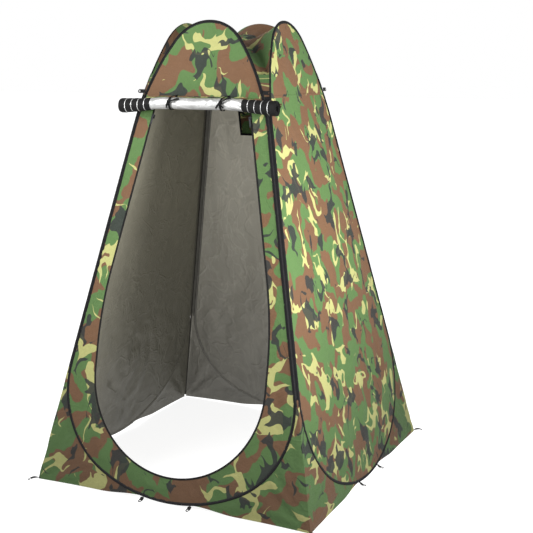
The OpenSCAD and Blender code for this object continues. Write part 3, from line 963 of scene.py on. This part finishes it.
def add_corner_tapes():
    """A tape over each corner seam, from one hoop's bead up into the valley between two hoops."""
    for k, corner in enumerate(CORNERS):
        joined = k != OPEN_CORNER
        rows = np.linspace(TAPE_FOOT_V, 1.655, 190) if joined else np.linspace(0.012, 1.672, 190)
        wobble = 0.0003 * noise(rows * 60, 0.7, 310 + k)
        points = joined_tape_points(k, rows, wobble) if joined else open_tape_points(rows, wobble)
        materials = [BINDING, CAMO["roof"], COATING, SHADED_COATING]
        piece = make_tape(f"{corner}_corner_tape", rows, points, len(rows) // 2, materials)
        columns = points.shape[1] - 1
        column = np.arange(columns)
        printed = (rows[1:] > 1.575)[:, None] & (column > 4) & (column < columns - 5) & joined
        lining = [2] * 5 + [0] * (columns - 5) if joined else [2] * (columns - 3) + [0, 0, 3]
        paint_grid(piece, printed.ravel(), np.tile(lining, len(rows) - 1), 0)
        finish(piece, None if joined else BODIES[k], "hoop_binding")
        if joined:
            blend_at_corner(piece, k, 0.0085)


def add_open_corner_web():
    """The left side's own strip along the open corner, lapping over the back side's tape."""
    rows = np.linspace(0.46, 1.672, 190)
    over = ((0.0078, 0.0052), (0.0050, 0.0067), (0.0018, 0.0064), (-0.0004, 0.0024))
    near = [on_side(LEFT, hoop_u(LEFT, -1, d, rows), rows, n) for d, n in over]
    far = on_side(LEFT, 0.0066 - corner_edge_u(rows, MID_N), rows, 0.0047)
    points = np.stack([*near, near[-1] + (far - near[-1]) * 0.5, far], axis=1)
    piece = make_tape("back_left_corner_web", rows, points, -1, [BINDING, SHADED_COATING])
    finish(piece, BODIES[LEFT], "hoop_binding")


add_corner_cloths()
add_corner_tapes()
add_open_corner_web()


# ---------------- roof
ROOF_LOW_V, ROOF_CENTRE_Z = 1.640, 1.745
ROOF_ROWS, ROOF_COLUMNS = 26, 61
ROOF_INSET = 0.0045
ROOF_JOINTS = ["right_fold", "right_fold", "back_fold", "left_fold"]


def crown_u(d, v):
    """Half the hoop's width at height v near its crown, d inside."""
    half = hoop_half(CORNER_GAP + d, 0.004)
    half = half[half[:, 1] > 1.4]
    half = half[np.argsort(half[:, 1])]
    return np.interp(v, half[:, 1], half[:, 0])


def roof_edge(k):
    """Points along the top of hoop k, from one corner valley to the other."""
    w = np.linspace(-1, 1, ROOF_COLUMNS)
    climb = CROWN_V - CORNER_GAP - ROOF_INSET - ROOF_LOW_V
    v = ROOF_LOW_V + climb * np.sin(QUARTER * (1 - np.abs(w)))
    return on_side(k, np.sign(w) * crown_u(ROOF_INSET, v) + side_shift(k) * 0.5, v, 0.0004)


def fan_faces(rows, columns):
    """Triangles of a grid whose first row is a single point."""
    number = np.arange((rows - 1) * columns).reshape(rows - 1, columns) + 1
    number = np.concatenate([np.zeros((1, columns), int), number])
    faces = []
    for r in range(rows - 1):
        for j in range(columns - 1):
            a, b, c, d = number[r, j], number[r, j + 1], number[r + 1, j + 1], number[r + 1, j]
            faces += [(a, d, c), (a, c, b)] if r else [(a, d, c)]
    return np.array(faces)


def add_roof():
    """Four gores from the hoops' crowns to the roof's middle."""
    edges = [roof_edge(k) for k in range(4)]
    faces = fan_faces(ROOF_ROWS, ROOF_COLUMNS)
    f, w = np.linspace(0, 1, ROOF_ROWS)[:, None], np.linspace(-1, 1, ROOF_COLUMNS)
    middle = smooth(1 - np.abs(w), 0.0, 0.25) * smooth(f, 0.0, 0.3) * smooth(1 - f, 0.0, 0.2)
    lift = np.array([0, 0, CLOTH_HALF])
    for k, side in enumerate(SIDES):
        edge = edges[k].copy()
        edge[-1] = (edges[k][-1] + edges[next_side(k)][0]) / 2
        edge[0] = (edges[k][0] + edges[(k + 3) % 4][-1]) / 2
        z = ROOF_CENTRE_Z + (edge[:, 2] - ROOF_CENTRE_Z) * f**2
        z += middle * (0.004 * noise(w * 5, f * 2.5, 400 + k) + 0.004 * ridges(w * 4 + f, f * 2, 410 + k))
        points = np.stack([edge[:, 0] * f, edge[:, 1] * f, z], -1).reshape(-1, 3)[ROOF_COLUMNS - 1 :]
        materials = [CAMO["roof"], COATING]
        name = f"{side}_roof_cloth"
        piece = two_layers(name, points + lift, points - lift, faces, materials, points[:, :2] + 0.7)
        squash = {
            "joint": ROOF_JOINTS[k],
            "axis": tuple(-side_vector(k, 0, 0, 1)),
            "anchor": tuple(on_side(k, 0, 1.7, -0.0004)),
            "keep": 0.03,
        }
        nodes = ["roof_panel"] if k == FRONT else []
        finish(piece, BODIES[k], "camouflage_cloth", *nodes, squash=squash)


add_roof()


# ---------------- zip and seams
def add_zip():
    """Zip coil and tape round the doorway, as one closed profile whose coil has teeth."""
    half = door_half(0.0, 0.002)
    path = round_the_foot(half[half[:, 1] < ZIP_TOP_V])
    s = running_length(path)[:, None]
    tooth = np.where(np.arange(len(path)) % 2 == 0, 1.0, 0.72)[:, None]
    angles = np.radians([40, 100, 160, 200, 260, 320])
    flat = np.ones((len(path), 1))
    tape_d = flat * [0.0032, 0.0093, 0.0097, 0.0093, 0.0032]
    tape_n = flat * [-0.0005, -0.00045, 0.0, 0.00045, 0.0005]
    d = np.concatenate([0.0015 + 0.0013 * np.cos(angles) * tooth, tape_d], 1)
    n = np.concatenate([0.0013 * np.sin(angles) * tooth, tape_n + 0.0002 * noise(s * 40, 0.2, 500)], 1)
    u, v = offset_path(path, left_normals(path, closed=False), d)
    piece = sweep("door_zip", on_side(FRONT, u, v, MID_N + n), [ZIP_TAPE], pairs(s, d), closed=False)
    finish(piece, BODIES[FRONT], "zip_tape", "zip_track")


def add_seams():
    """The felled seam between lower and upper cloth: a raised strip with two low ridges along it."""
    rising = [(-0.0052, 0.0), (-0.0046, 0.0007), (-0.0012, 0.0009), (0.0, 0.0006)]
    falling = [(0.0012, 0.0009), (0.0046, 0.0007), (0.0052, 0.0), (0.0, -0.0002)]
    across, up = np.array(rising + falling).T
    for k, side in enumerate(SIDES):
        loop = hoop(k, 0.0085, 0.006)
        right = loop[loop[:, 0] > 0]
        reach = right[np.argmin(np.abs(right[:, 1] - SEAM_V)), 0] - 0.002
        u = np.linspace(-reach, reach, 120)[:, None]
        v = SEAM_V + 0.0006 * noise(u * 18, 0.1, 520 + k) + across
        n = MID_N + 0.0007 + up * (1 + 0.25 * noise(u * 50, 0.6, 530 + k))
        points, uv = on_side(k, u, v, n), pairs(u + 3.0 * k, v)
        piece = sweep(f"{side}_seam", points, [CAMO[side + "_top"]], uv, closed=False)
        finish(piece, BODIES[k], "camouflage_cloth")


add_zip()
add_seams()


# ---------------- rolled door
TURNS, ROLL_IN = 14, 0.010
TAPE_BANDS, BAND_RISE = 5, 0.0011


def roll_point(u, angle, r):
    """A point r from the roll's axis, at an angle from straight up; the roll's ends droop."""
    droop = ROLL_DROOP * smooth(np.abs(u), 0.14, ROLL_HALF) ** 0.8
    return on_side(FRONT, u, ROLL_V - droop + r * np.cos(angle), ROLL_N + r * np.sin(angle))


def web_touch():
    """Where the hanging cloth meets the roll: its angle round the axis, and (v, n)."""
    to_tip = TIE_TIP - [ROLL_V, ROLL_N]
    reach = ROLL_R + 0.0006
    angle = math.atan2(to_tip[1], to_tip[0]) - math.acos(reach / np.linalg.norm(to_tip))
    return angle, np.array([ROLL_V + reach * math.cos(angle), ROLL_N + reach * math.sin(angle)])


def add_roll():
    """The rolled door as one long spiral sheet, with stepped bands of zip tape at both ends."""
    end = ROLL_HALF - 0.008
    band = (end - ROLL_TAPE_U) / TAPE_BANDS
    half = np.concatenate([np.linspace(0, ROLL_TAPE_U, 30)[:-1], np.linspace(ROLL_TAPE_U, end, 51)])
    u = np.concatenate([-half[:0:-1], half])
    inner_turns = np.linspace(0, 1 - 1 / TURNS, (TURNS - 1) * 20 + 1)[:-1]
    turn = np.concatenate([inner_turns, np.linspace(1 - 1 / TURNS, 1, 41)])[:, None]
    angle = web_touch()[0] - (1 - turn) * TURNS * TURN
    a = np.abs(u)
    taped = a > ROLL_TAPE_U
    out_of_middle = np.clip((a - ROLL_TAPE_U) / band, 0, TAPE_BANDS)
    step = np.floor(out_of_middle + 1e-9)
    in_band = out_of_middle - step
    shape = np.minimum(smooth(in_band, 0.0, 0.16), 1 - smooth(in_band, 0.86, 1.0))
    outer_r = ROLL_R - 0.0010 + taped * BAND_RISE * (np.minimum(step + 1, TAPE_BANDS) - 1 + shape)
    pinch = 0.0020 * np.exp(-(((a - TIE_U) / 0.011) ** 2))
    down, out = -np.cos(angle), np.sin(angle)
    slack = 0.0010 * noise(u * 26 + out, 2 * down, 600)
    slack += 0.0015 * ridges(u * 9 + 0.7 * down, down, 610) - 0.0008
    bite = 0.0006 * noise(u * 90 + 2 * out, 4 * down, 620) * taped
    r = ROLL_IN + (outer_r - pinch + slack * (a < ROLL_TAPE_U) + bite - ROLL_IN) * turn
    r = np.clip(r, ROLL_IN, ROLL_END_R)
    points = roll_point(u, angle, r)
    outward = unit(roll_point(u, angle, r + 0.001) - points)
    length = running_length(points[:, len(u) // 2])
    materials = [BRIGHT_COATING, CAMO["front"], ZIP_TAPE]
    piece = grid_cloth("rolled_door_cloth", points, 0.0003 * outward, materials, pairs(u, length[:, None]))
    m = np.tile(np.abs(u[1:] + u[:-1]) / 2, len(turn) - 1)
    place = (m - ROLL_TAPE_U) / band
    covered = (place > 0) & ~((np.mod(place, 1) > 0.90) & (place < 4.9))
    paint_grid(piece, np.where(covered, 2, 0), np.where(m > ROLL_TAPE_U, 2, 1), 2)
    squash = {
        "joint": "door_unroll",
        "axis": tuple(side_vector(FRONT, 0, 0, 1)),
        "anchor": tuple(on_side(FRONT, 0, ROLL_V, ROLL_N - ROLL_R)),
        "keep": 0.45,
    }
    finish(piece, "rolled_door", "silver_coating", "door_roll", squash=squash)


def add_door_sheet():
    """The door between seam and roll, narrow at rest: each row is as wide as the doorway where that row would
    hang with the roll let down.
    """
    touch = web_touch()[1]
    top = TIE_TIP - [0.002, 0.0006]
    t = np.linspace(0, 1, 4001)
    fallen = 0.044 * t + DOOR_TRAVEL * t * t * (3 - 2 * t)
    rows = np.interp(np.linspace(0, fallen[-1], 90), fallen, t)
    v, n = (top + (touch - top) * rows[:, None]).T[:, :, None]
    hung = v - (DOOR_TRAVEL * rows**2 * (3 - 2 * rows))[:, None]
    width = np.minimum(door_width(hung) - 0.0078, 0.340)
    w = np.linspace(-1, 1, 61)
    ripple = 0.0007 * noise(w * 7, hung * 3, 640) * smooth(1 - np.abs(w), 0, 0.1)
    points = on_side(FRONT, width * w, v, n - 0.0012 + ripple)
    lift, materials = side_vector(FRONT, 0, 0, 0.0004), [CAMO["front"], BRIGHT_COATING]
    piece = grid_cloth("hanging_door_cloth", points, lift, materials, pairs(width * w, hung))
    finish(piece, None, "silver_coating", "door_web")
    start, end = tuple(on_side(FRONT, 0, *top)), tuple(on_side(FRONT, 0, *touch))
    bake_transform(piece)


def ribbon(name, path, across, up, width, thick, closed=True):
    """A ribbon along a path: eight points round each place on it."""
    right, left = [(0.5, 0.3), (0.5, -0.3), (0.44, -0.5)], [(-0.5, -0.3), (-0.5, 0.3), (-0.44, 0.5)]
    half = np.array([*left, (0.44, 0.5), *right, (-0.44, -0.5)])
    across, up = (np.broadcast_to(x, path.shape)[:, None, :] for x in (across, up))
    rings = path[:, None, :] + across * half[:, :1] * width + up * half[:, 1:] * thick
    uv = pairs(running_length(path)[:, None], np.arange(8) * 0.001)
    return sweep(name, rings, [RIBBON], uv, closed)


def tie_band(name, hand, middle, r):
    """The ribbon's loop: round the roll from below and up to the seam."""
    last, _ = web_touch()
    at_tip = math.atan2(TIE_TIP[1] - ROLL_N, TIE_TIP[0] - ROLL_V)
    angles = np.linspace(2 * at_tip - last, last + TURN, 60)
    round_roll = pairs(ROLL_V + r * np.cos(angles), ROLL_N + r * np.sin(angles))
    tip = TIE_TIP + [0.0015, 0.0012]
    w = np.linspace(0, 1, 10)[:-1, None]
    down, up = tip + (round_roll[0] - tip) * w, round_roll[-1] + (tip - round_roll[-1]) * w[1:]
    loop = np.concatenate([down, round_roll, up])
    sway = 0.002 * np.sin(np.linspace(0, TURN, len(loop)) + hand)
    path = on_side(FRONT, middle + sway, loop[:, 0], loop[:, 1])
    across = side_vector(FRONT, 1, 0, 0)
    return ribbon(name, path, across, np.cross(tangents(path), across), 0.0090, 0.0009)


def tie_tail(name, i, middle, r, reach, end_angle, bow):
    """One loose end of a bow, over the roll's front and down it."""
    t = np.linspace(0, 1, 24)
    u = middle + reach * t
    arch = np.sin(t * math.pi)
    angle = QUARTER + (end_angle - QUARTER) * t + 0.12 * arch * bow
    away = r + 0.0022 + 0.0035 * arch + 0.001 * t
    path = roll_point(u, angle, away)
    ahead = tangents(path, closed=False)
    outward = unit(roll_point(u, angle, away + 0.01) - path)
    twist = 0.5 * np.sin(t * 5 + i)[:, None]
    turned = np.cross(ahead, outward) * np.cos(twist) + outward * np.sin(twist)
    return ribbon(name, path, turned, np.cross(turned, ahead), 0.0085, 0.0009, closed=False)


def tie_knot(name, middle, r):
    t = np.linspace(0, TURN, 25)[:-1]
    v = ROLL_V + 0.0045 * np.cos(t) + 0.001 * np.sin(2 * t)
    n = ROLL_N + r + 0.0022 + 0.0022 * np.cos(2 * t + 0.4)
    path = on_side(FRONT, middle + 0.0052 * np.sin(t), v, n)
    ahead = tangents(path)
    across = np.cross(ahead, side_vector(FRONT, 0, 0, 1))
    return ribbon(name, path, across, np.cross(across, ahead), 0.0068, 0.0024)


TAILS = {  # each loose end's reach along the roll, last angle and bow
    "left": [(0.046, 1.10, 0.0), (-0.010, 2.45, 0.4)],
    "right": [(0.040, 0.75, 0.3), (-0.020, 2.35, 0.0), (0.014, 2.2, 0.2)],
}


def add_ties():
    r = ROLL_R + 0.0013
    for side, hand in (("left", -1), ("right", 1)):
        middle = hand * TIE_U
        pieces = [tie_band(f"{side}_band", hand, middle, r)]
        for i, tail in enumerate(TAILS[side]):
            pieces.append(tie_tail(f"{side}_tail_{i}", i, middle, r, *tail))
        pieces.append(tie_knot(f"{side}_knot", middle, r))
        squash = {
            "joint": "door_unroll",
            "axis": tuple(side_vector(FRONT, 0, -1, 0)),
            "anchor": tuple(on_side(FRONT, 0, TIE_TIP[0] + 0.002, 0)),
            "keep": 0.12,
        }
        finish(join(f"{side}_tie_ribbon", pieces), BODIES[FRONT], "ribbon", f"{side}_door_tie", squash=squash)


add_ties()
add_roll()
add_door_sheet()


# ---------------- webbing tabs
def tab_outline(body, r, point):
    """A tab's flat outline: a straight root drawn out by point, and a round end."""
    root_y = np.linspace(r, -r, 17)[:-1]
    root = pairs(-point * np.clip(1.6 * (1 - np.abs(root_y) / r), 0, 1), root_y)
    low = pairs(np.linspace(0, body, 12)[:-1], -r)
    t = np.linspace(-QUARTER, QUARTER, 15)
    end = pairs(body + r * np.cos(t), r * np.sin(t))
    top = pairs(np.linspace(body, 0, 12)[1:-1], r)
    return np.concatenate([root, low, end, top])


def webbing_tab(name, length, width, hole_r, place, point=0.0):
    """A sewn webbing tab with a round eyelet; place turns its flat points into the frame."""
    r = width / 2
    body = length - r
    q = np.linspace(0, TURN, 21)[:-1]
    outline, hole = tab_outline(body, r, point), pairs(body + hole_r * np.cos(q), hole_r * np.sin(q))
    verts, faces = region(outline, [hole], 0.0013)
    x, y = verts.T
    edge = np.minimum(distance_to(verts, outline), distance_to(verts, hole))
    rise = 0.00082 * np.sqrt(np.clip(1 - (1 - np.clip(edge / 0.0011, 0, 1)) ** 2, 0, 1)) + 0.00004
    eyelet = np.exp(-(((np.hypot(x - body, y) - hole_r - 0.0012) / 0.0006) ** 2))
    box_x = x - 0.0055
    cross = np.minimum(np.abs(box_x - y * 0.7), np.abs(box_x + y * 0.7))
    box = np.abs(np.maximum(np.abs(box_x) / 0.0038, np.abs(y) / (r * 0.72)) - 1) * 0.004
    sewn = np.exp(-((np.minimum(cross, box) / 0.0005) ** 2))
    sewn *= (np.abs(box_x) < 0.0046) * (np.abs(y) < r * 0.8)
    rib = 0.00006 * np.sin(y * TURN / 0.0021)
    top_z = 0.0009 + rise + 0.00035 * eyelet - 0.00028 * sewn + rib
    outer, inner = place(x, y, top_z), place(x, y, 0.0009 - rise)
    return two_layers(name, outer, inner, faces, [WEBBING, WEBBING], verts)


def add_hem_tabs():
    """Two peg tabs at the foot of each hoop, which rise to it."""

    def placed(k, hand):
        def place(x, y, z):
            rise = 0.0105 * (1 - smooth(x, -0.004, 0.013))
            rise += 0.0030 * np.sin(math.pi * np.clip((x - 0.004) / 0.020, 0, 1))
            foot = -HALF - 0.006 * RISE - 0.0003
            return np.stack([*quarter_turns(hand * 0.105 + y, foot - x, k), z + rise], -1)

        return place

    for k, side in enumerate(SIDES):
        tabs = [webbing_tab(f"{side}_tab_{h}", 0.024, 0.016, 0.004, placed(k, h), 0.005) for h in (-1, 1)]
        finish(join(f"{side}_hem_tabs", tabs), BODIES[k], "webbing", f"{side}_hem_loops")


def add_peg_tabs():
    """A peg tab at each floor corner, pointing away from it."""

    def placed(turns):
        def place(x, y, z):
            c = s = -math.sqrt(0.5)
            px, py = -HALF + c * (x + 0.016) - s * y, -HALF + s * (x + 0.016) + c * y
            rise = 0.0070 * np.sin(math.pi * np.clip((x + 0.022) / 0.052, 0, 1))
            return np.stack([*quarter_turns(px, py, turns), z + rise], -1)

        return place

    for turns, (corner, k) in enumerate(zip(["front_left", *CORNERS[:3]], (FRONT, FRONT, RIGHT, LEFT))):
        point = 0.0070 if corner == "back_left" else 0.0125
        piece = webbing_tab(f"{corner}_peg_tab", 0.030, 0.018, 0.004, placed(turns), point)
        finish(piece, BODIES[k], "webbing", f"{corner}_peg_loop")


def add_guy_loops():
    """A guy loop on each corner's binding, where two hoops part."""

    def placed(k, hand, edge_u):
        def place(x, y, z):
            return on_side(k, hand * (edge_u - 0.012 + x), GUY_V + hand * y, 0.0064 + z)

        return place

    guys = [("front_left", FRONT, -1), ("front_right", FRONT, 1)]
    guys += [("back_right", RIGHT, 1), ("back_left", LEFT, -1)]
    for corner, k, hand in guys:
        edge_u = HALF - GUY_V * TILT - (OPEN_GAP if k == LEFT else CORNER_GAP)
        piece = webbing_tab(f"{corner}_guy_loop", 0.034, 0.015, 0.003, placed(k, hand, edge_u))
        finish(piece, BODIES[k], "webbing", f"{corner}_guy_tab")


add_hem_tabs()
add_peg_tabs()
add_guy_loops()


# ---------------- window
U0, U1, V0, V1 = -WINDOW_W / 2, WINDOW_W / 2, WINDOW_V, WINDOW_V + WINDOW_H


def add_window_frame():
    """The tape bound round the window's edge, with square corners."""
    inner = rectangle(U0, U1, V0, V1, 0.008)
    centred = inner - [0, (V0 + V1) / 2]
    outward = np.sign(centred) * (np.abs(np.abs(centred) - [WINDOW_W / 2, WINDOW_H / 2]) < 1e-6)
    outer_face = [(0.0002, 0.0), (0.0012, 0.0010), (0.0048, 0.0012), (0.0085, 0.0011), (0.0097, 0.0003)]
    inner_face = [(0.0097, -0.0003), (0.0085, -0.0011), (0.0012, -0.0010)]
    d, lift = np.array(outer_face + inner_face).T
    u, v = offset_path(inner, outward, d)
    s = running_length(inner)[:, None]
    points = on_side(BACK, u, v, MID_N + lift + 0.0002 * noise(s * 60, 0.3, 700))
    piece = sweep("window_frame_tape", points, [BINDING], pairs(s, d))
    finish(piece, BODIES[BACK], "hoop_binding", "window_binding")


def add_window_net():
    """The window's mesh: crossed threads with square sections."""
    pitch, thick, past, over = 0.0026, 0.00026, 0.001, 0.00012
    verts, faces = [], []

    def thread(a, b, lift, sideways):
        base = len(verts)
        for u, v in (a, b):
            for du, dn in ((-thick, 0.0), (0.0, thick), (thick, 0.0), (0.0, -thick)):
                verts.append((u + du * sideways[0], v + du * sideways[1], MID_N + dn + lift))
        ring = [base + j for j in range(4)]
        faces.extend((ring[j], ring[j - 3], ring[j - 3] + 4, ring[j] + 4) for j in range(4))
        faces.extend([tuple(ring[::-1]), tuple(j + 4 for j in ring)])

    for u in np.arange(U0 + pitch / 2, U1, pitch):
        thread((u, V0 - past), (u, V1 + past), 0.0, (1, 0))
    for v in np.arange(V0 + pitch / 2, V1, pitch):
        thread((U0 - past, v), (U1 + past, v), over, (0, 1))
    points = np.array(verts)
    piece = make_object("window_net", on_side(BACK, *points.T), faces, [MESH_THREAD], points[:, :2])
    bm = bmesh.new()
    bm.from_mesh(piece.data)
    bmesh.ops.recalc_face_normals(bm, faces=bm.faces[:])
    bm.to_mesh(piece.data)
    bm.free()
    finish(piece, BODIES[BACK], "mesh_cloth", "window_mesh")


def add_window_cover():
    """The flap that hangs over the window from its top edge, with a sewn hem."""
    outline = rectangle(-FLAP_HALF, FLAP_HALF, FLAP_TOP_V - FLAP_H, FLAP_TOP_V, 0.008)
    verts, faces = region(outline, (), 0.008)
    u, v = verts.T
    folds = 0.0016 + 0.0014 * noise(u * 14, v * 5, 710) + 0.0010 * noise(u * 30, v * 9, 711)
    n = 0.0054 + smooth(FLAP_TOP_V - v, 0.0, 0.05) * folds
    hem = 0.0004 * (1 - smooth(distance_to(verts, outline), 0.007, 0.009))
    outer, inner = on_side(BACK, u, v, n + 0.0005 + hem), on_side(BACK, u, v, n - 0.0005 - hem * 0.5)
    materials = [CAMO["flap"], CAMO["flap"]]
    piece = two_layers("window_cover_cloth", outer, inner, faces, materials, pairs(u + 2.2, v))
    finish(piece, "flap", "camouflage_cloth", "window_flap")


add_window_frame()
add_window_net()
add_window_cover()


# ---------------- carried-over metal parts
def repaint(node, material):
    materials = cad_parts[node].data.materials
    materials.clear()
    materials.append(material)


def add_metal():
    for side in SIDES:
        repaint(f"{side}_hoop_wire", STEEL)
        repaint(f"{side}_hoop_ferrule", CRIMP)
    for hand in ("left", "right"):
        repaint(f"{hand}_zip_slider", ZIP_METAL)
        repaint(f"{hand}_pull_tab", ZIP_METAL)


add_metal()


# ---------------- lights, floor and background
def area_light(name, place, target, size, power):
    data = bpy.data.lights.new(name, "AREA")
    data.shape = "DISK"
    data.size, data.energy = size, power
    lamp = bpy.data.objects.new(name, data)
    lamp.location = place
    lamp.rotation_euler = (Vector(target) - Vector(place)).to_track_quat("-Z", "Y").to_euler()
    SCENE.collection.objects.link(lamp)


def add_stage():
    world = bpy.data.worlds.new("studio")
    world.use_nodes = True
    world.node_tree.nodes["Background"].inputs[0].default_value = (1, 1, 1, 1)
    world.node_tree.nodes["Background"].inputs[1].default_value = 1.0
    SCENE.world = world
    glow = {"Emission_Color": (1.0, 1.0, 1.0), "Emission_Strength": 0.88}
    white = Nodes("floor").finished(Base_Color=(0.22, 0.22, 0.22), Roughness=0.7, **glow)
    corners = [(-40, -40, 0), (40, -40, 0), (40, 40, 0), (-40, 40, 0)]
    floor = make_object("floor", corners, [(0, 1, 2, 3)], [white])
    floor.location.z = -0.0015
    area_light("key", (-0.9, -1.8, 2.5), (0, -0.3, 1.5), 0.8, 42)
    area_light("front", (-1.6, -2.3, 1.7), (0, -0.4, 1.0), 0.9, 69)
    area_light("side", (1.95, -0.75, 1.3), (0.4, -0.1, 0.95), 0.9, 106)
    area_light("back", (-1.9, 3.4, 1.6), (0, 0.2, 0.9), 1.6, 60)
    SCENE.view_settings.view_transform = "Standard"


add_stage()
